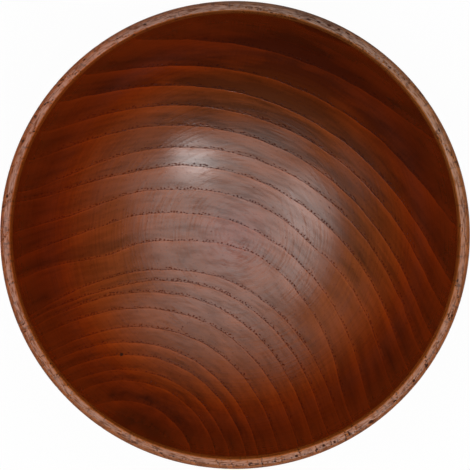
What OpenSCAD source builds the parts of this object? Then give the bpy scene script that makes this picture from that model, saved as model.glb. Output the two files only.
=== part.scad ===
/* [Bowl] */
// Outside diameter of the bowl across the lip
bowl_d = 180; // [150:1:220]
// Height from the table to the top of the lip
bowl_h = 86; // [68:1:110]
// Radius of the inside curve between the wall and the floor
inside_curve_r = 60; // [40:1:70]
// Radius of the outside curve between the wall and the belly
outside_curve_r = 68; // [50:1:80]

/* [Wall and floor] */
// Thickness of the wall at the lip
lip_t = 4.2; // [4:0.1:6]
// Rounding of the lip on its inner edge
lip_inner_r = 0.8; // [0.6:0.1:1.6]
// Rounding of the lip on its outer edge
lip_outer_r = 2.4; // [1.6:0.1:2.6]
// Thickness of the wall where the belly runs down to the foot
belly_t = 11.5; // [9:0.5:14]
// Thickness of the floor over the recess
floor_t = 7; // [5:0.5:9]

/* [Foot] */
// Outside diameter of the foot ring
foot_d = 84; // [70:1:100]
// Width of the foot ring
foot_w = 7; // [5:0.5:10]
// Rounding of the two lower edges of the foot ring
foot_edge_r = 1; // [0.4:0.1:2]
// Radius of the cove between the foot ring and the belly
foot_cove_r = 4; // [2:0.5:8]
// Depth of the turned recess inside the foot ring
recess_depth = 6; // [3:0.5:8]
// Radius of the corner at the top of the recess
recess_corner_r = 2.5; // [1:0.1:2.9]

/* [Hidden] */
$fn = 144;

stained_wood = [0.43, 0.20, 0.11];

bowl_r = bowl_d / 2;
hollow_r = bowl_r - lip_t;
foot_r = foot_d / 2;
recess_r = foot_r - foot_w;

// The wall's two arcs start at the level where the rounding of the lip begins.
rim_z = bowl_h - lip_outer_r;
floor_z = recess_depth + floor_t;
belly_z = floor_z - belly_t;
hollow_depth = rim_z - floor_z;
belly_depth = rim_z - belly_z;

// A wall arc rises no further than the first share of the rim radius, and a deeper bowl
// gets a straight wall above it. Its radius stays within the second share of its height,
// so that it always runs into a wider floor arc.
round_share = 0.98;
wall_share = 0.88;

function arc_depth(rim_r, depth) = min(depth, round_share * rim_r);

function wall_arc_r(rim_r, depth, curve_r) = min(curve_r, wall_share * arc_depth(rim_r, depth));

// Radius of the floor arc, which runs through the lowest point and meets smoothly
// a wall arc that stands upright at its top.
function floor_arc_r(rim_r, high, wall_r) =
    (pow(rim_r - wall_r, 2) + pow(high, 2) - pow(wall_r, 2)) / (2 * (high - wall_r));

// Half section of a round form below its rim level, from the axis to the wall:
// a wide arc for the floor and a tighter arc for the wall, meeting on one line
// through both centres.
module cup_section(rim_r, depth, curve_r) {
    high = arc_depth(rim_r, depth);
    wall_r = wall_arc_r(rim_r, depth, curve_r);
    floor_r = floor_arc_r(rim_r, high, wall_r);
    wall_c = [rim_r - wall_r, high - depth];
    floor_c = [0, floor_r - depth];
    meeting_line = (wall_c - floor_c) / norm(wall_c - floor_c);
    far = floor_c + 2 * floor_r * meeting_line;
    intersection() {
        translate(floor_c) circle(r = floor_r);
        polygon([[0, wall_c.y], wall_c, far, [0, -depth - floor_r]]);
    }
    intersection() {
        translate(wall_c) circle(r = wall_r);
        polygon([wall_c, [far.x + rim_r, wall_c.y], far]);
    }
    if (high < depth) {
        translate([0, wall_c.y]) square([rim_r, depth - high]);
    }
}

// What a rounding takes off a square corner, with the centre of the rounding at the origin.
module corner_waste(r) {
    difference() {
        square(r);
        circle(r = r);
    }
}

// The lip above the rim level, with a softer rounding outside than inside.
module lip_section() {
    difference() {
        translate([hollow_r, rim_z]) square([lip_t, lip_outer_r]);
        translate([hollow_r + lip_inner_r, bowl_h - lip_inner_r]) mirror([1, 0]) corner_waste(lip_inner_r);
        translate([bowl_r - lip_outer_r, bowl_h - lip_outer_r]) corner_waste(lip_outer_r);
    }
}

// The foot as a solid disc reaching up into the belly, with its lower edge rounded
// and a cove that runs into the belly.
module foot_section() {
    belly_r = floor_arc_r(
        bowl_r,
        arc_depth(bowl_r, belly_depth),
        wall_arc_r(bowl_r, belly_depth, outside_curve_r)
    );
    belly_c = [0, belly_z + belly_r];
    cove_x = foot_r + foot_cove_r;
    cove_reach = belly_r + foot_cove_r;
    cove_c = [cove_x, belly_c.y - sqrt(pow(cove_reach, 2) - pow(cove_x, 2))];
    cove_meets_belly = belly_c + (cove_c - belly_c) * belly_r / cove_reach;
    difference() {
        square([foot_r, cove_meets_belly.y]);
        translate([foot_r - foot_edge_r, foot_edge_r]) mirror([0, 1]) corner_waste(foot_edge_r);
    }
    difference() {
        polygon([[foot_r, cove_c.y], cove_c, cove_meets_belly, [foot_r, cove_meets_belly.y]]);
        translate(cove_c) circle(r = foot_cove_r);
    }
}

// The recess under the floor, with a rounded corner at its roof and an eased mouth.
module recess_section() {
    difference() {
        square([recess_r, recess_depth]);
        translate([recess_r - recess_corner_r, recess_depth - recess_corner_r]) corner_waste(recess_corner_r);
    }
    translate([recess_r + foot_edge_r, foot_edge_r]) mirror([1, 0]) mirror([0, 1]) corner_waste(foot_edge_r);
}

module bowl_section() {
    difference() {
        union() {
            translate([0, rim_z]) cup_section(bowl_r, belly_depth, outside_curve_r);
            foot_section();
        }
        translate([0, rim_z]) cup_section(hollow_r, hollow_depth, inside_curve_r);
        recess_section();
    }
    lip_section();
}

// One piece of wood turned round its own axis.
module bowl() {
    color(stained_wood) rotate_extrude() bowl_section();
}

bowl();
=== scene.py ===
import math

import bpy
import numpy as np
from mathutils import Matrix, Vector, noise


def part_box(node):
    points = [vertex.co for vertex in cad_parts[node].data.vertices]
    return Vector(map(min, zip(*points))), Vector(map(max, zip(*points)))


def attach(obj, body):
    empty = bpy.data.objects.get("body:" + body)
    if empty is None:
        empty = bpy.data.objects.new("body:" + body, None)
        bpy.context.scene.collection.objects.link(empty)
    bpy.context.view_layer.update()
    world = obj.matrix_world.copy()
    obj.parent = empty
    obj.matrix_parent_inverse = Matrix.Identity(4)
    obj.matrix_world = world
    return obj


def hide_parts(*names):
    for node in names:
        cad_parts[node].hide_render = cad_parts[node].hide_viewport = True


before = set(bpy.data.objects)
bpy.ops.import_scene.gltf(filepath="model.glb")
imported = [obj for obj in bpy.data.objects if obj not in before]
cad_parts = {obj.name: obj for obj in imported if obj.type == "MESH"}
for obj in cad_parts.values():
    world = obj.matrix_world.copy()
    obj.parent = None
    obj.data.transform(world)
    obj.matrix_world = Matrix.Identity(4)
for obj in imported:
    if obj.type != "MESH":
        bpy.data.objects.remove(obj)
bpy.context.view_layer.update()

# The bowl: one block of ring-porous hardwood, turned on a lathe with its end grain facing up,
# so that the growth rings run across the hollow as curves. It is stained dark red-brown and
# lacquered satin, inside and out, and stands on a foot ring turned from the same wood.

MM = 0.001
_, bowl_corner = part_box("bowl")
bowl_r = bowl_corner.x / MM
bowl_h = bowl_corner.z / MM

lip_t = 4.2
lip_inner_r = 0.8
lip_outer_r = 2.4
rim_z = bowl_h - lip_outer_r
hollow_r = bowl_r - lip_t

inside_curve_r = 60.0
outside_curve_r = 68.0
floor_z = 13.0
belly_z = 1.5

foot_r = 42.0
recess_r = 35.0
foot_edge_r = 1.0
foot_cove_r = 4.0
recess_depth = 6.0
recess_corner_r = 2.5


def floor_curve_r(rim_r, depth, wall_r):
    """Radius of the wide curve that runs through the lowest point and meets the wall's curve."""
    return ((rim_r - wall_r) ** 2 + depth**2 - wall_r**2) / (2 * (depth - wall_r))


hollow_curve_r = floor_curve_r(hollow_r, rim_z - floor_z, inside_curve_r)
belly_curve_r = floor_curve_r(bowl_r, rim_z - belly_z, outside_curve_r)
hollow_centre = (0.0, floor_z + hollow_curve_r)
belly_centre = (0.0, belly_z + belly_curve_r)
inner_wall_centre = (hollow_r - inside_curve_r, rim_z)
outer_wall_centre = (bowl_r - outside_curve_r, rim_z)

cove_reach = belly_curve_r + foot_cove_r
cove_r = foot_r + foot_cove_r
cove_centre = (cove_r, belly_centre[1] - math.sqrt(cove_reach**2 - cove_r**2))


def bearing(start, end):
    """Direction in degrees from one point of the section to another, from the axis outwards."""
    return math.degrees(math.atan2(end[1] - start[1], end[0] - start[0]))


inner_turn = bearing(hollow_centre, inner_wall_centre)
outer_turn = bearing(belly_centre, outer_wall_centre)
cove_turn = bearing(belly_centre, cove_centre)

# Cells are about as long as they are wide, and finer on the lip, where open pores are cut in.
# The steps are mm along the section, and the cells are counted round the bowl.
hollow_step = 1.45
lip_step = 0.4
outside_step = 2.1
cove_step = 0.7
foot_side_step = 1.6
foot_edge_step = 0.4
foot_step = 1.2
recess_corner_step = 0.8
recess_step = 2.0
recess_middle_r = 1.5
body_cells = 480
lip_cells = 1440
fewest_cells = 30
narrowest_cell = 0.5655
section = []


def cells_at(radius, widest):
    """How many cells run round the bowl there: on the body, halved again and again inwards."""
    count = widest
    if widest == body_cells:
        while 2 * math.pi * radius / count < narrowest_cell and count > fewest_cells:
            count //= 2
    return count


def turn_arc(centre, radius, start, end, step, widest):
    """Adds the points of an arc of the section, without its first one."""
    steps = max(2, round(radius * math.radians(abs(end - start)) / step))
    for number in range(1, steps + 1):
        angle = math.radians(start + (end - start) * number / steps)
        r = centre[0] + radius * math.cos(angle)
        z = centre[1] + radius * math.sin(angle)
        section.append((r, z, cells_at(r, widest)))


def turn_line(end, step, widest):
    """Adds the points of a straight stretch from the last point of the section."""
    r0, z0, _ = section[-1]
    steps = max(1, round(math.hypot(end[0] - r0, end[1] - z0) / step))
    for number in range(1, steps + 1):
        r = r0 + (end[0] - r0) * number / steps
        z = z0 + (end[1] - z0) * number / steps
        section.append((r, z, cells_at(r, widest)))


turn_arc(hollow_centre, hollow_curve_r, -90, inner_turn, hollow_step, body_cells)
turn_arc(inner_wall_centre, inside_curve_r, inner_turn, 0, hollow_step, body_cells)
turn_line((hollow_r, bowl_h - lip_inner_r), lip_step, lip_cells)
turn_arc((hollow_r + lip_inner_r, bowl_h - lip_inner_r), lip_inner_r, 180, 90, lip_step, lip_cells)
turn_line((bowl_r - lip_outer_r, bowl_h), lip_step, lip_cells)
turn_arc((bowl_r - lip_outer_r, rim_z), lip_outer_r, 90, 0, lip_step, lip_cells)
turn_arc(outer_wall_centre, outside_curve_r, 0, outer_turn, outside_step, body_cells)
turn_arc(belly_centre, belly_curve_r, outer_turn, cove_turn, outside_step, body_cells)
turn_arc(cove_centre, foot_cove_r, 180 + cove_turn, 180, cove_step, body_cells)
turn_line((foot_r, foot_edge_r), foot_side_step, body_cells)
turn_arc((foot_r - foot_edge_r, foot_edge_r), foot_edge_r, 0, -90, foot_edge_step, body_cells)
turn_line((recess_r + foot_edge_r, 0), foot_step, body_cells)
turn_arc((recess_r + foot_edge_r, foot_edge_r), foot_edge_r, -90, -180, foot_edge_step, body_cells)
turn_line((recess_r, recess_depth - recess_corner_r), foot_step, body_cells)
recess_corner = (recess_r - recess_corner_r, recess_depth - recess_corner_r)
turn_arc(recess_corner, recess_corner_r, 0, 90, recess_corner_step, body_cells)
turn_line((recess_middle_r, recess_depth), recess_step, body_cells)

# Growth rings as circles in plan, from the heart of the tree outwards: centre x and y and
# radius in mm, how much darker the ring starts than it ends, and how open its pores are.
growth_rings = [
    (-54.0, -110.0, 22.0, 0.20, 0.2),
    (-54.0, -110.0, 29.0, 0.20, 0.2),
    (-53.0, -110.0, 36.0, 0.28, 0.2),
    (-52.0, -109.5, 43.0, 0.16, 0.3),
    (-50.0, -108.0, 48.0, 0.14, 0.3),
    (-51.0, -111.0, 55.0, 0.14, 0.4),
    (-49.0, -108.5, 58.0, 0.24, 0.5),
    (-49.0, -108.0, 62.5, 0.14, 0.7),
    (-44.0, -103.5, 64.0, 0.06, 1.0),
    (-43.0, -101.5, 70.0, 0.06, 1.0),
    (-39.5, -96.0, 71.5, 0.15, 0.9),
    (-36.0, -92.5, 73.5, 0.08, 1.0),
    (-32.0, -89.5, 75.0, 0.06, 1.0),
    (-33.0, -85.5, 84.5, 0.16, 0.7),
    (-29.0, -70.5, 81.5, 0.10, 0.6),
    (-26.0, -66.5, 87.5, 0.18, 0.9),
    (-26.0, -63.0, 94.0, 0.15, 0.9),
    (-21.8, -56.5, 94.8, 0.14, 0.9),
    (-23.0, -53.0, 100.2, 0.17, 1.0),
    (-21.5, -49.0, 104.3, 0.21, 1.0),
    (-21.0, -45.0, 108.0, 0.27, 0.8),
    (-17.0, -41.5, 112.0, 0.19, 0.7),
    (-14.0, -41.0, 120.0, 0.12, 0.6),
    (-16.0, -38.0, 126.5, 0.12, 0.8),
    (-8.0, -41.0, 140.0, 0.12, 0.5),
]
# Where single rings bulge or dip: the ring's number, its bearing from the ring's centre and how
# far it reaches to either side in degrees, and the lift in mm.
ring_bends = [
    (11, 105.0, 14.0, -1.5),
    (13, 12.0, 18.0, -5.0),
    (13, 60.0, 14.0, 3.0),
    (13, 106.0, 10.0, -3.2),
    (15, 47.0, 10.0, -1.5),
    (16, 101.0, 9.0, -1.5),
]
# Where all the rings bulge or dip together: x, y, reach and lift in mm.
ring_swells = [
    (-88.0, 4.0, 10.0, 4.0),
    (-60.0, 6.0, 16.0, -2.5),
    (-28.0, 2.0, 16.0, -1.5),
]
# Where the rings are faint: x, y and reach in mm, and the share of their contrast that is lost,
# with a minus where they stand out more instead.
ring_fades = [
    (-72.0, 30.0, 26.0, 0.60),
    (12.0, 2.0, 18.0, 0.50),
    (44.0, 60.0, 20.0, 0.50),
    (62.0, 30.0, 14.0, 0.40),
    (-52.0, -8.0, 14.0, -0.80),
    (64.0, -44.0, 16.0, -0.25),
]
# Where the step from one year to the next is blurred: x, y and reach in mm, and how much.
ring_blurs = [
    (56.0, -34.0, 34.0, 1.0),
    (-64.0, -14.0, 30.0, 1.0),
    (-58.0, 34.0, 20.0, 0.7),
    (-40.0, -66.0, 18.0, 0.7),
]
# The widths in mm of the years before the first ring and after the last, the least width of any,
# and how much further the swells reach along y than along x.
heart_gap = 7.0
bark_gap = 11.0
least_gap = 0.8
swell_stretch = 1.6


def ring_age(x, y):
    """Years from the first ring, rising smoothly through every boundary."""
    for swell_x, swell_y, reach, lift in ring_swells:
        along_x = (x - swell_x) / reach
        along_y = (y - swell_y) / (swell_stretch * reach)
        y = y - lift * np.exp(-(along_x**2 + along_y**2))
    beyond = [np.hypot(x - ring[0], y - ring[1]) - ring[2] for ring in growth_rings]
    for number, at, spread, lift in ring_bends:
        centre_x, centre_y = growth_rings[number][:2]
        bearings = np.degrees(np.arctan2(y - centre_y, x - centre_x))
        beyond[number] = beyond[number] - lift * np.exp(-(((bearings - at) / spread) ** 2))
    beyond = [beyond[0] + heart_gap] + beyond + [beyond[-1] - bark_gap, beyond[-1] - 2 * bark_gap]
    widths = [np.maximum(inner - outer, least_gap) for inner, outer in zip(beyond, beyond[1:])]
    age = beyond[0] / heart_gap - 1
    for year in range(1, len(beyond) - 2):
        inside = (beyond[year] >= 0) & (beyond[year + 1] < 0)
        share = np.clip(beyond[year] / widths[year], 0, 1)
        first = 2 * widths[year] / (widths[year - 1] + widths[year])
        final = 2 * widths[year] / (widths[year] + widths[year + 1])
        eased = share**3 * (first + final - 2) + share**2 * (3 - 2 * first - final) + share * first
        age = np.where(inside, year - 1 + eased, age)
    return age


# Where the wood is lighter or darker, and where it is redder: x, y and reach in mm, how much
# lighter it is there and how much redder.
tone_patches = [
    (0.0, 0.0, 15.5, -0.10, 1.00),
    (-70.0, 0.0, 28.0, -0.12, 0.50),
    (-44.0, 26.0, 16.0, 0.10, 0.00),
    (-46.0, 4.0, 15.0, 0.14, 0.00),
    (-50.0, -42.0, 26.0, 0.20, 0.00),
    (-2.0, -58.0, 20.0, 0.08, 0.00),
    (44.0, -38.0, 19.0, 0.18, 0.00),
    (30.0, 66.0, 24.0, -0.50, 0.00),
    (66.0, 40.0, 18.0, -0.26, 0.00),
    (-8.0, 60.0, 22.0, -0.20, 0.00),
    (50.0, 6.0, 16.0, -0.16, 0.00),
    (62.0, -50.0, 14.0, -0.15, 0.00),
    (0.0, 16.0, 10.0, -0.14, 0.00),
    (14.0, 91.0, 20.0, -0.15, 0.00),
    (-36.0, -75.0, 12.0, -0.24, 0.00),
    (46.0, -58.0, 13.0, -0.12, 0.00),
]

# Open pores and small breaks along the lip: angle round the bowl in degrees, radius, length
# round the lip, width and depth in mm.
lip_marks = [
    (-54.0, 88.5, 2.0, 1.4, 0.60),
    (-60.2, 87.6, 0.8, 3.0, 0.40),
    (-64.4, 87.9, 1.2, 1.0, 0.45),
    (-67.2, 87.4, 1.4, 1.1, 0.45),
    (-69.2, 87.8, 1.1, 0.9, 0.40),
    (-74.5, 87.8, 1.5, 0.9, 0.40),
    (-80.0, 88.0, 1.2, 1.0, 0.40),
    (-86.0, 87.5, 1.4, 0.8, 0.40),
    (60.8, 88.5, 2.2, 0.7, 0.45),
    (63.3, 88.2, 1.8, 0.7, 0.45),
    (65.9, 87.9, 2.4, 0.8, 0.45),
    (68.6, 87.5, 2.0, 0.7, 0.45),
    (71.2, 87.2, 2.2, 0.7, 0.45),
    (73.6, 86.9, 1.6, 0.6, 0.40),
    (27.3, 87.6, 1.8, 0.8, 0.40),
    (-11.6, 86.7, 1.6, 0.7, 0.40),
    (-20.5, 88.4, 1.6, 0.9, 0.45),
    (-34.4, 88.7, 2.0, 0.9, 0.45),
    (-39.3, 88.2, 1.4, 1.0, 0.45),
    (-46.2, 88.0, 1.8, 0.9, 0.45),
    (113.1, 87.6, 1.8, 0.9, 0.45),
    (130.6, 88.4, 1.5, 0.8, 0.40),
    (139.4, 88.4, 1.5, 0.8, 0.40),
    (149.2, 88.9, 1.4, 0.8, 0.40),
    (156.0, 88.6, 1.7, 1.0, 0.45),
    (170.3, 88.3, 1.5, 1.0, 0.45),
]
# The pores of a ring boundary where it crosses the lip: how far they reach beyond it in mm, how
# many to a mm, where their noise is cut, how much of it opens a pore, and the depth in mm.
row_reach = 0.55
row_waves = 1.9
row_level = 3.7
row_threshold = 0.02
row_gain = 3
row_depth = 0.32


def lip_pore_depth(x, y, age, gap):
    """Depth of the open pores in the lip, in mm: small pits where a ring boundary crosses it."""
    depth = 0.0
    beyond = (age - math.floor(age)) * gap
    if beyond < row_reach:
        grains = noise.noise(Vector((x * row_waves, y * row_waves, row_level)))
        if grains > row_threshold:
            depth = row_depth * min(1.0, grains * row_gain) * (1 - (beyond / row_reach) ** 2)
    angle = math.degrees(math.atan2(y, x))
    radius = math.hypot(x, y)
    for at, mark_r, length, width, deep in lip_marks:
        along = math.radians((angle - at + 180) % 360 - 180) * radius / (0.5 * length)
        across = (radius - mark_r) / (0.5 * width)
        reach = along**2 + across**2
        if reach < 1:
            depth = max(depth, deep * (1 - reach))
    return depth


points = [(0.0, 0.0, floor_z)]
rows = []
travel = [0.0]
walked = 0.0
last = (0.0, floor_z)
for r, z, cells in section:
    walked += math.hypot(r - last[0], z - last[1])
    last = (r, z)
    rows.append(range(len(points), len(points) + cells))
    for number in range(cells):
        angle = 2 * math.pi * number / cells
        points.append((r * math.cos(angle), r * math.sin(angle), z))
        travel.append(walked)
points.append((0.0, 0.0, recess_depth))
travel.append(walked + section[-1][0])

faces = []
first_row = rows[0]
last_row = rows[-1]
for number in range(len(first_row)):
    after = (number + 1) % len(first_row)
    faces.append((0, first_row[number], first_row[after]))
for inner, outer in zip(rows, rows[1:]):
    cells = min(len(inner), len(outer))
    inner_share = len(inner) // cells
    outer_share = len(outer) // cells
    for number in range(cells):
        inner_from = number * inner_share
        outer_from = number * outer_share
        inner_side = [inner[(inner_from + i) % len(inner)] for i in range(inner_share + 1)]
        outer_side = [outer[(outer_from + i) % len(outer)] for i in range(outer_share + 1)]
        faces.append(tuple([inner_side[0]] + outer_side + inner_side[:0:-1]))
for number in range(len(last_row)):
    after = (number + 1) % len(last_row)
    faces.append((last_row[number], len(points) - 1, last_row[after]))

plan = np.array(points)
plan_x = plan[:, 0]
plan_y = plan[:, 1]


def near(middle_x, middle_y, reach):
    """For each point of the mesh, 1 at a place in plan, falling to 0 round it."""
    return np.exp(-((plan_x - middle_x) ** 2 + (plan_y - middle_y) ** 2) / reach**2)


# The local width of a year, in mm, is one over how fast the age grows there.
ages = ring_age(plan_x, plan_y)
probe = 0.5
least_growth = 0.02
growth_x = ring_age(plan_x + probe, plan_y) - ring_age(plan_x - probe, plan_y)
growth_y = ring_age(plan_x, plan_y + probe) - ring_age(plan_x, plan_y - probe)
gaps = 2 * probe / np.maximum(np.hypot(growth_x, growth_y), least_growth)

years = np.arange(len(growth_rings))
bites = np.interp(ages, years + 0.5, [ring[3] for ring in growth_rings])
for fade_x, fade_y, reach, share in ring_fades:
    bites *= 1 - share * near(fade_x, fade_y, reach)
openness = np.interp(ages, years, [ring[4] for ring in growth_rings])
blurs = np.zeros(len(points))
for blur_x, blur_y, reach, share in ring_blurs:
    blurs += share * near(blur_x, blur_y, reach)
lighter = np.zeros(len(points))
redder = np.zeros(len(points))
for patch_x, patch_y, reach, light, red in tone_patches:
    share = near(patch_x, patch_y, reach)
    lighter += light * share
    redder += red * share

# The open pores are cut into the lip towards the middle of its section.
pits = np.zeros(len(points))
pits_above = rim_z + 0.2
lip_centre = ((hollow_r + bowl_r) / 2, rim_z - 0.5)
for number, (x, y, z) in enumerate(points):
    if z > pits_above:
        depth = lip_pore_depth(x, y, ages[number], gaps[number])
        if depth > 0:
            pits[number] = depth
            r = math.hypot(x, y)
            from_centre = Vector((r - lip_centre[0], z - lip_centre[1]))
            from_centre = from_centre * (1 - depth / from_centre.length)
            scale = (lip_centre[0] + from_centre.x) / r
            points[number] = (x * scale, y * scale, lip_centre[1] + from_centre.y)

# The wood has dried a little narrower one way than the other.
dried = 0.996
bowl_mesh = bpy.data.meshes.new("turned_bowl")
bowl_mesh.from_pydata([(x * MM, y * MM * dried, z * MM) for x, y, z in points], [], faces)
bowl_mesh.shade_smooth()


def keep_on_mesh(name, values):
    """Keeps one value a point, for the wood's nodes to read."""
    layer = bowl_mesh.attributes.new(name, "FLOAT", "POINT")
    layer.data.foreach_set("value", np.asarray(values, np.float32))


keep_on_mesh("ring_age", ages)
keep_on_mesh("ring_gap", gaps)
keep_on_mesh("ring_bite", bites)
keep_on_mesh("ring_pores", openness)
keep_on_mesh("ring_blur", np.minimum(blurs, 1.0))
keep_on_mesh("patch_lighter", lighter)
keep_on_mesh("patch_redder", redder)
keep_on_mesh("lip_pits", pits)
keep_on_mesh("tool_travel", travel)
bowl = bpy.data.objects.new("turned_bowl", bowl_mesh)
bpy.context.scene.collection.objects.link(bowl)

# The wood's colours, linear: the dark start and the light end of a year's growth, on the floor,
# where the end grain lies open, on the slope, and on the walls, where the grain runs along them.
# The walls' colours are darker, partly for the side grain and partly as painted shade on the
# steep walls of the hollow.
# Then what an open pore does to them, and the lip's own. lip_hole is the pin knot's too.
floor_early = (0.077, 0.0193, 0.0030, 1)
floor_late = (0.314, 0.0740, 0.0130, 1)
slope_early = (0.079, 0.0107, 0.0003, 1)
slope_late = (0.346, 0.0417, 0.0010, 1)
shaded_wall_early = (0.050, 0.0055, 0.0003, 1)
shaded_wall_late = (0.238, 0.0255, 0.0007, 1)
in_pore = (0.52, 0.34, 0.28, 1)
lip_early = (0.118, 0.0300, 0.0045, 1)
lip_late = (0.300, 0.0840, 0.0130, 1)
lit_lip_edge = (0.380, 0.1000, 0.0140, 1)
lip_hole = (0.045, 0.0130, 0.0050, 1)

wood = bpy.data.materials.new("stained_wood")
wood.use_nodes = True
nodes = wood.node_tree.nodes
nodes.clear()


def grain_node(kind, feeds, **settings):
    """Adds a node, with each feed a plain value or another node's output, by input name."""
    node = nodes.new(kind)
    for name, value in settings.items():
        setattr(node, name, value)
    for name, feed in feeds.items():
        if isinstance(feed, bpy.types.NodeSocket):
            wood.node_tree.links.new(feed, node.inputs[name])
        else:
            node.inputs[name].default_value = feed
    return node


def work_out(operation, *terms):
    """One step of arithmetic."""
    return grain_node("ShaderNodeMath", dict(enumerate(terms)), operation=operation).outputs[0]


def from_mesh(name):
    """A value kept on the bowl's points."""
    return grain_node("ShaderNodeAttribute", {}, attribute_name=name).outputs["Fac"]


def ease(value, low, high, start=0.0, end=1.0):
    """start at low, end at high, and a smooth run between them."""
    feeds = {"Value": value, "From Min": low, "From Max": high, "To Min": start, "To Max": end}
    eased = grain_node("ShaderNodeMapRange", feeds, interpolation_type="SMOOTHSTEP")
    return eased.outputs["Result"]


def work_out_places(operation, *terms, gives="Vector"):
    """One step of arithmetic with places or directions."""
    step = grain_node("ShaderNodeVectorMath", dict(enumerate(terms)), operation=operation)
    return step.outputs[gives]


def speckle(place, scale, detail=2.0):
    """Soft noise between 0 and 1 at so many waves a millimetre."""
    feeds = {"Vector": place, "Scale": scale, "Detail": detail, "Roughness": 0.55}
    return grain_node("ShaderNodeTexNoise", feeds).outputs["Fac"]


def tint(mode, factor, base, other):
    """Two colours brought together."""
    mix = grain_node("ShaderNodeMix", {}, data_type="RGBA", blend_type=mode)
    for socket, feed in zip((mix.inputs[0], mix.inputs[6], mix.inputs[7]), (factor, base, other)):
        if isinstance(feed, bpy.types.NodeSocket):
            wood.node_tree.links.new(feed, socket)
        else:
            socket.default_value = feed
    return mix.outputs[2]


# Places in mm, the same drawn out along the trunk, and how squarely the surface cuts the grain.
trunk_share = 0.04
in_mm = grain_node("ShaderNodeTexCoord", {}).outputs["Object"]
in_mm = work_out_places("MULTIPLY", in_mm, (1 / MM, 1 / MM, 1 / MM))
along_grain = work_out_places("MULTIPLY", in_mm, (1, 1, trunk_share))
apart = grain_node("ShaderNodeSeparateXYZ", {"Vector": in_mm})
facing = grain_node("ShaderNodeNewGeometry", {}).outputs["Normal"]
facing = grain_node("ShaderNodeSeparateXYZ", {"Vector": facing})
end_grain = work_out("ABSOLUTE", facing.outputs["Z"])
outwards = work_out_places("MULTIPLY", in_mm, (1, 1, 0))
from_axis = work_out_places("LENGTH", outwards, gives="Value")
around = work_out_places("NORMALIZE", outwards)


def turned_place(across, waves):
    """A place in the picture of what the lathe does: a value across, and waves a radian round."""
    spread = grain_node("ShaderNodeVectorMath", {0: around, "Scale": waves}, operation="SCALE")
    spread = grain_node("ShaderNodeSeparateXYZ", {"Vector": spread.outputs["Vector"]})
    feeds = {"X": across, "Y": spread.outputs["X"], "Z": spread.outputs["Y"]}
    return grain_node("ShaderNodeCombineXYZ", feeds).outputs[0]


def swing(noise_value, amount):
    """Noise as a change to either side of nothing."""
    return work_out("MULTIPLY", work_out("SUBTRACT", noise_value, 0.5), amount)


# A year's growth starts at a line of pores, dark, and grows lighter up to the next line.
# The line sways and is ragged, each by up to half of so many mm.
line_sway = 0.9
line_shake = 0.45
gap = from_mesh("ring_gap")
sway = swing(speckle(along_grain, 0.09, 1.0), line_sway)
shake = swing(speckle(along_grain, 1.2, 2.0), line_shake)
age = work_out("ADD", from_mesh("ring_age"), work_out("DIVIDE", work_out("ADD", sway, shake), gap))
year = work_out("FLOOR", age)
year_share = work_out("FRACT", age)
since_pores = work_out("MULTIPLY", year_share, gap)
until_pores = work_out("SUBTRACT", gap, since_pores)

# Places on a ring, in mm: the way round the heart of the tree, on rings that are evenly spaced.
first_ring_r = 34.0
ring_spacing = 4.6
heart_x, heart_y, _, _, _ = growth_rings[0]
from_heart_x = work_out("SUBTRACT", apart.outputs["X"], heart_x)
from_heart_y = work_out("SUBTRACT", apart.outputs["Y"], heart_y)
round_heart = work_out("ARCTAN2", from_heart_y, from_heart_x)
ring_r = work_out("MULTIPLY_ADD", year, ring_spacing, first_ring_r)
along_ring = work_out("MULTIPLY", round_heart, ring_r)


def ring_place(across, along):
    """A place in the flat picture of the rings, from a value across them and one along them."""
    return grain_node("ShaderNodeCombineXYZ", {"X": across, "Y": along}).outputs[0]


def ring_streaks(across, along, detail):
    """Noise drawn out along the rings: waves a year across them, and waves a radian along."""
    waves = ring_place(work_out("MULTIPLY", age, across), work_out("MULTIPLY", round_heart, along))
    return speckle(waves, 1.0, detail)


# How light the wood is: the season's growth, held against its middle, then all that changes it.
middle_season = 0.40
middle_tone = 0.44
ring_contrast = 2.1
season = grain_node("ShaderNodeFloatCurve", {"Factor": 1.0, "Value": year_share})
season_points = season.mapping.curves[0].points
for x, y in [(0.12, 0.0), (0.35, 0.05), (0.50, 0.24), (0.65, 0.46), (0.80, 0.68), (0.92, 0.86)]:
    season_points.new(x, y)
season_points[0].location = (0.0, 0.08)
season_points[-1].location = (1.0, 0.92)
season.mapping.update()
carried_over = work_out("MULTIPLY", ease(since_pores, 0.0, 2.0, 0.85, 0.0), from_mesh("ring_blur"))
late = work_out("MAXIMUM", season.outputs["Value"], carried_over)
this_year = grain_node("ShaderNodeTexWhiteNoise", {"W": year}, noise_dimensions="1D")
smoke = ease(ring_streaks(1.1, 9.0, 2.0), 0.30, 0.70, 0.60, 1.50)
bite = work_out("MULTIPLY", work_out("MULTIPLY", from_mesh("ring_bite"), smoke), ring_contrast)
tone = work_out("MULTIPLY_ADD", work_out("SUBTRACT", late, middle_season), bite, middle_tone)
bright_edge = ease(until_pores, 0.10, 0.75, 0.15, 0.0)
rays = ring_place(work_out("MULTIPLY", age, 0.7), work_out("MULTIPLY", along_ring, 1.5))
streaks = ring_streaks(5.0, 10.0, 2.0)
for change in (
    bright_edge,
    # Lighter towards the rim: painted light on the upper walls.
    ease(apart.outputs["Z"], rim_z - 26, rim_z - 2, 0.0, 0.24),
    swing(this_year.outputs["Value"], 0.06),
    swing(speckle(along_grain, 0.035, 3.0), 0.24),
    swing(streaks, 0.50),
    swing(ring_streaks(2.0, 5.0, 2.0), 0.58),
    swing(speckle(rays, 1.0, 1.0), 0.10),
    swing(speckle(along_grain, 1.1, 2.0), 0.10),
    from_mesh("patch_lighter"),
):
    tone = work_out("ADD", tone, change)
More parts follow.
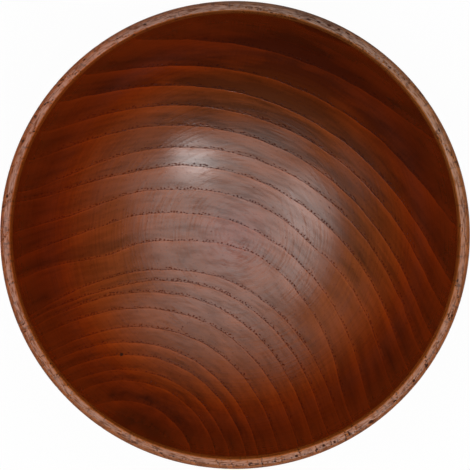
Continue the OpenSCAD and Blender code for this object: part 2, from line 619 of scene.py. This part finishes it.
# The steep walls take the darker wall colours: partly side grain, partly painted shade.
off_wall = ease(end_grain, 0.40, 0.88)
on_floor = ease(end_grain, 0.60, 0.90)
early = tint("MIX", on_floor, tint("MIX", off_wall, shaded_wall_early, slope_early), floor_early)
late_stain = tint("MIX", on_floor, tint("MIX", off_wall, shaded_wall_late, slope_late), floor_late)
stain = tint("MIX", tone, early, late_stain)
red_tint = (1.04, 0.70, 0.70, 1)
stain = tint("MULTIPLY", from_mesh("patch_redder"), stain, red_tint)

# The pores: a beaded row of open ends along each boundary, and fewer further on. The beads are
# so many mm apart along the ring, and each year's row is shifted against the last.
bead_spacing = 1.05
row_shift = 17.3
bead_along = work_out("DIVIDE", along_ring, bead_spacing)
beads_at = ring_place(since_pores, work_out("MULTIPLY_ADD", year, row_shift, bead_along))
bead_feeds = {"Vector": beads_at, "Scale": 1.0, "Randomness": 0.85}
beads = grain_node("ShaderNodeTexVoronoi", bead_feeds, voronoi_dimensions="2D")
bead = ease(beads.outputs["Distance"], 0.18, 0.42, 1.0, 0.0)
stretch = ease(ring_streaks(0.3, 16.0, 1.0), 0.35, 0.58, 0.45, 1.1)
open_share = work_out("MULTIPLY", from_mesh("ring_pores"), stretch)
chance = work_out("MULTIPLY", ease(since_pores, 0.6, 1.5, 1.6, 0.06), open_share)
spared = work_out("SUBTRACT", beads.outputs["Color"], chance)
bead = work_out("MULTIPLY", bead, ease(spared, -0.04, 0.04, 1.0, 0.0))
line = work_out("MULTIPLY", ease(since_pores, 0.10, 0.55, 0.60, 0.0), open_share)
scatter_feeds = {"Vector": along_grain, "Scale": 0.55}
scattered = grain_node("ShaderNodeTexVoronoi", scatter_feeds, voronoi_dimensions="2D")
fleck = ease(scattered.outputs["Distance"], 0.10, 0.26, 0.32, 0.0)
fleck = work_out("MULTIPLY", fleck, ease(scattered.outputs["Color"], 0.28, 0.36, 1.0, 0.0))
seen = ease(end_grain, 0.25, 0.85, 0.35, 1.0)
pores = work_out("MULTIPLY", work_out("MAXIMUM", work_out("MAXIMUM", bead, line), fleck), seen)
stained = tint("MULTIPLY", pores, stain, in_pore)

# One pin knot low on the wall, dark out to the first radius and gone at the second, in mm.
knot_at = (-47.5, -50.0, 0)
knot_r = 0.45
knot_edge_r = 0.85
from_knot = work_out_places("SUBTRACT", outwards, knot_at)
from_knot = work_out_places("LENGTH", from_knot, gives="Value")
knot = ease(from_knot, knot_r, knot_edge_r, 1.0, 0.0)
stained = tint("MIX", knot, stained, lip_hole)

# The lip is a plainer orange brown, with its own fine streaks round it, and lighter along its
# inner edge, which is painted light on the rounded edge. Its colour starts at the top of the outer
# wall, and a little lower down the inner one.
on_lip = ease(apart.outputs["Z"], rim_z - 0.4, rim_z + 0.9)
inside = ease(from_axis, hollow_r + 0.5, hollow_r + 1.5, 1.0, 0.0)
inside = work_out("MULTIPLY", inside, ease(apart.outputs["Z"], rim_z - 3.6, rim_z - 0.4))
on_lip = work_out("MAXIMUM", on_lip, inside)
lip_grain = speckle(turned_place(work_out("MULTIPLY", from_axis, 2.4), 27.0), 1.0, 5.0)
lip_tone = work_out("ADD", work_out("MULTIPLY_ADD", tone, 0.6, 0.2), swing(lip_grain, 4.0))
# Painted light: the lip's tone rises towards its inner edge.
lip_tone = work_out("ADD", lip_tone, ease(from_axis, hollow_r + 0.6, hollow_r + 1.8, 0.22, 0.0))
lip_wood = tint("MIX", lip_tone, lip_early, lip_late)
stained = tint("MIX", work_out("MULTIPLY", on_lip, 0.9), stained, lip_wood)
# Painted light: a lighter orange along the lip's inner edge and the top of the inner wall.
edge = work_out("MULTIPLY", on_lip, ease(from_axis, hollow_r, hollow_r + 0.55, 0.85, 0.0))
stained = tint("MIX", edge, stained, lit_lip_edge)


def on_side(bearing_there, width):
    """1 on the side of the lip that lies at that bearing, in degrees, falling to 0 round it."""
    turn = math.radians(bearing_there)
    there = (math.cos(turn), math.sin(turn), 0)
    towards = work_out_places("DOT_PRODUCT", around, there, gives="Value")
    return work_out("MULTIPLY", on_lip, ease(towards, math.cos(math.radians(width)), 1.0))


# The lip is painted by side for how the light falls on it: paler and yellower at the far right
# as a broad painted highlight, darker at the far side as painted shade, and redder at the left,
# where it is painted as catching less light.
stained = tint("MULTIPLY", on_side(48, 62), stained, (0.96, 1.14, 1.5, 1))
stained = tint("MULTIPLY", on_side(84, 52), stained, (0.68, 0.70, 0.80, 1))
stained = tint("MULTIPLY", on_side(160, 75), stained, (1.0, 0.84, 0.75, 1))

# Short dark ticks cross the lip here and there. The noise is cut at its higher peaks.
ticks = speckle(turned_place(work_out("MULTIPLY", from_axis, 0.35), 70.0), 1.0, 2.0)
ticks = work_out("MULTIPLY", on_lip, ease(ticks, 0.58, 0.66, 0.0, 0.55))
stained = tint("MIX", ticks, stained, lip_hole)

# On the near side a fine dotted line runs along the middle of the lip, where two cuts met.
cut_r = bowl_r - 2.3
cut_wander = swing(speckle(turned_place(0.0, 3.0), 1.0, 1.0), 1.0)
from_cut = work_out("SUBTRACT", from_axis, work_out("ADD", cut_wander, cut_r))
from_cut = work_out("ABSOLUTE", from_cut)
dots = ease(speckle(turned_place(5.0, 100.0), 1.0, 2.0), 0.50, 0.60, 0.10, 0.85)
dotted = work_out("MULTIPLY", dots, ease(from_cut, 0.10, 0.42, 1.0, 0.0))
dotted = work_out("MULTIPLY", dotted, on_side(-70, 110))
stained = tint("MIX", dotted, stained, lip_hole)
pitted = ease(from_mesh("lip_pits"), 0.03, 0.20)
stained = tint("MIX", pitted, stained, lip_hole)

# Turning marks: fine rings round the axis that come and go, with a little more stain in them.
turning = speckle(turned_place(from_mesh("tool_travel"), 2.6), 1.1, 3.0)
marked = ease(speckle(along_grain, 0.05, 1.0), 0.40, 0.60, 0.35, 1.0)
turning = work_out("MULTIPLY", work_out("SUBTRACT", turning, 0.5), marked)
in_mark = (0.62, 0.55, 0.50, 1)
stained = tint("MULTIPLY", ease(turning, -0.12, 0.06, 0.30, 0.0), stained, in_mark)

# The relief, as shares of its full depth: turning marks, the lip's streaks and the pores.
relief_depth = 0.06 * MM
height = work_out("MULTIPLY", turning, 1.7)
height = work_out("ADD", height, work_out("MULTIPLY", on_lip, swing(lip_grain, 2.4)))
height = work_out("SUBTRACT", height, work_out("MULTIPLY", pores, 1.1))
relief = grain_node("ShaderNodeBump", {"Strength": 0.5, "Distance": relief_depth, "Height": height})

# The lacquer is satin, a little duller on the dark early wood, on the marks and on the worn lip.
early_dull = 0.24
late_dull = 0.21
outer_edge = work_out("MULTIPLY", on_lip, ease(from_axis, bowl_r - 2.0, bowl_r - 0.8, 0.0, 0.95))
dull = ease(late, 0.0, 1.0, early_dull, late_dull)
dull = work_out("ADD", dull, work_out("MULTIPLY", pores, 0.04))
dull = work_out("MULTIPLY_ADD", turning, 0.12, dull)
dull = work_out("MULTIPLY_ADD", on_lip, 0.06, dull)
dull = work_out("MULTIPLY_ADD", outer_edge, 0.35, dull)

# Open pores hold no lacquer, the steep sides soaked it up, and the lip is rubbed, so that all of
# them shine less. bare is the share of the shine that is lost.
rubbed = work_out("MULTIPLY", on_lip, ease(lip_grain, 0.36, 0.58, 0.90, 0.0))
bare = work_out("ADD", ease(turning, -0.12, 0.20, 0.0, 0.36), ease(streaks, 0.34, 0.56, 0.22, 0.0))
soaked = ease(end_grain, 0.60, 0.80, 0.95, 0.0)
for lost in (soaked, rubbed, outer_edge, ticks, pores, pitted, dotted):
    bare = work_out("MAXIMUM", bare, lost)
full_shine = (1, 1, 1, 1)
bare_shine = (0.03, 0.03, 0.03, 1)
shine = tint("MIX", bare, full_shine, bare_shine)

lacquer = grain_node("ShaderNodeBsdfPrincipled", {
    "Base Color": stained,
    "Specular Tint": shine,
    "Roughness": dull,
    "Normal": relief.outputs["Normal"],
    "IOR": 1.5,
    "Specular IOR Level": 1.0,
})
grain_node("ShaderNodeOutputMaterial", {"Surface": lacquer.outputs["BSDF"]})
bowl_mesh.materials.append(wood)
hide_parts("bowl")
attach(bowl, "root")

# The stage: a wide round sheet of white paper that lies flat under the bowl and curls up far away.
# To the camera and in reflections it shows mostly its own white, so that the lamps needn't light
# it up, and it is clear from below.

paper_radii = [0.3, 1.0, 2.0, 3.0, 3.6, 4.0, 4.2, 4.25]
paper_rise = [0.0, 0.0, 0.0, 0.0, 0.06, 0.25, 0.6, 1.1]
paper_sides = 96
paper_points = [(0.0, 0.0, 0.0)]
paper_faces = []
for radius, rise in zip(paper_radii, paper_rise):
    for side in range(paper_sides):
        angle = 2 * math.pi * side / paper_sides
        paper_points.append((radius * math.cos(angle), radius * math.sin(angle), rise))
for side in range(paper_sides):
    after = (side + 1) % paper_sides
    paper_faces.append((0, 1 + side, 1 + after))
    for ring in range(len(paper_radii) - 1):
        near_ring = 1 + ring * paper_sides
        far_ring = near_ring + paper_sides
        paper_faces.append((near_ring + side, far_ring + side, far_ring + after, near_ring + after))
paper_mesh = bpy.data.meshes.new("paper")
paper_mesh.from_pydata(paper_points, [], paper_faces)
paper_mesh.shade_smooth()
paper = bpy.data.objects.new("paper", paper_mesh)
bpy.context.scene.collection.objects.link(paper)

paper_grey = (0.90, 0.90, 0.90, 1)
own_white = 0.95
paper_white = bpy.data.materials.new("paper_white")
paper_white.use_nodes = True
paper_tree = paper_white.node_tree
paper_tree.nodes.clear()
matt = paper_tree.nodes.new("ShaderNodeBsdfDiffuse")
matt.inputs["Color"].default_value = paper_grey
glow = paper_tree.nodes.new("ShaderNodeEmission")
glow.inputs["Strength"].default_value = 1.0
light_path = paper_tree.nodes.new("ShaderNodeLightPath")
looked_at = light_path.outputs["Is Camera Ray"]
for name in ("Is Glossy Ray", "Is Transmission Ray"):
    either = paper_tree.nodes.new("ShaderNodeMath")
    either.operation = "MAXIMUM"
    paper_tree.links.new(looked_at, either.inputs[0])
    paper_tree.links.new(light_path.outputs[name], either.inputs[1])
    looked_at = either.outputs[0]
whitened = paper_tree.nodes.new("ShaderNodeMath")
whitened.operation = "MULTIPLY"
whitened.inputs[1].default_value = own_white
paper_tree.links.new(looked_at, whitened.inputs[0])
white = paper_tree.nodes.new("ShaderNodeMixShader")
paper_tree.links.new(whitened.outputs[0], white.inputs["Fac"])
paper_tree.links.new(matt.outputs[0], white.inputs[1])
paper_tree.links.new(glow.outputs[0], white.inputs[2])
clear = paper_tree.nodes.new("ShaderNodeBsdfTransparent")
underside = paper_tree.nodes.new("ShaderNodeNewGeometry")
sheet = paper_tree.nodes.new("ShaderNodeMixShader")
paper_tree.links.new(underside.outputs["Backfacing"], sheet.inputs["Fac"])
paper_tree.links.new(white.outputs[0], sheet.inputs[1])
paper_tree.links.new(clear.outputs[0], sheet.inputs[2])
sheet_out = paper_tree.nodes.new("ShaderNodeOutputMaterial")
paper_tree.links.new(sheet.outputs[0], sheet_out.inputs["Surface"])
paper_mesh.materials.append(paper_white)

# The light: a large softbox overhead, smaller ones in front and at the left with a soft glow beside
# them, a glow at the right, a window behind the bowl, and faint light from low down, in a dim room.
# Their reflections stand in the hollow.

aimed_at = (0, 0, 0.04)


def softbox(name, azimuth, from_overhead, distance, width, depth, brightness):
    """A soft lamp aimed at the bowl. brightness is what a white mirror would show of it."""
    turn = math.radians(azimuth)
    lean = math.radians(from_overhead)
    lamp_data = bpy.data.lights.new(name, "AREA")
    lamp_data.shape = "ELLIPSE"
    lamp_data.size = width
    lamp_data.size_y = depth
    lamp_data.energy = brightness * math.pi * (math.pi * width * depth / 4)
    lamp = bpy.data.objects.new(name, lamp_data)
    across = distance * math.sin(lean)
    lamp.location = (across * math.cos(turn), across * math.sin(turn), distance * math.cos(lean))
    lamp.rotation_euler = (Vector(aimed_at) - lamp.location).to_track_quat("-Z", "Y").to_euler()
    lamp.visible_camera = False
    bpy.context.scene.collection.objects.link(lamp)


# Bearing and lean from overhead in degrees, distance, width and depth in metres, brightness.
softbox("overhead_middle", 250, 1, 1.2, 0.78, 0.78, 0.42)
softbox("overhead_softbox", 250, 1, 1.3, 2.03, 2.03, 0.80)
softbox("overhead_edge", 200, 1, 1.36, 2.90, 2.90, 0.62)
softbox("front_softbox", 299, 39.8, 1.2, 0.32, 0.40, 4.7)
softbox("front_glow", 285, 41.5, 1.15, 2.30, 0.34, 0.62)
softbox("left_softbox", 200, 38, 1.2, 0.70, 0.50, 0.9)
softbox("left_glow", 182, 31, 1.25, 1.30, 0.56, 0.55)
softbox("window", 80, 47, 2.2, 3.4, 0.95, 0.35)
softbox("window_glow", 75, 55, 2.2, 3.6, 1.60, 0.30)
softbox("right_glow", 342, 41, 1.22, 0.60, 0.42, 0.26)
softbox("low_window", 132, 66, 2.4, 2.4, 0.90, 0.22)
softbox("low_left", 208, 67, 2.5, 1.1, 0.80, 0.32)
softbox("low_front", 322, 68, 2.45, 2.6, 0.70, 0.25)

dim_grey = (0.03, 0.03, 0.03, 1)
room = bpy.data.worlds.new("room")
room.use_nodes = True
room.node_tree.nodes["Background"].inputs["Color"].default_value = dim_grey
bpy.context.scene.world = room

# The camera looks straight down on the bowl from 45 cm above its rim, and its frame is a hair wider
# there than the bowl.

camera_above_rim = 0.450
frame_width_at_rim = 0.1801
sensor_width = 36.0
camera_data = bpy.data.cameras.new("camera")
camera_data.sensor_width = sensor_width
camera_data.lens = sensor_width * camera_above_rim / frame_width_at_rim
camera = bpy.data.objects.new("camera", camera_data)
camera.location = (0, 0, rim_z * MM + camera_above_rim)
bpy.context.scene.collection.objects.link(camera)
bpy.context.scene.camera = camera
bpy.context.scene.view_settings.view_transform = "Standard"
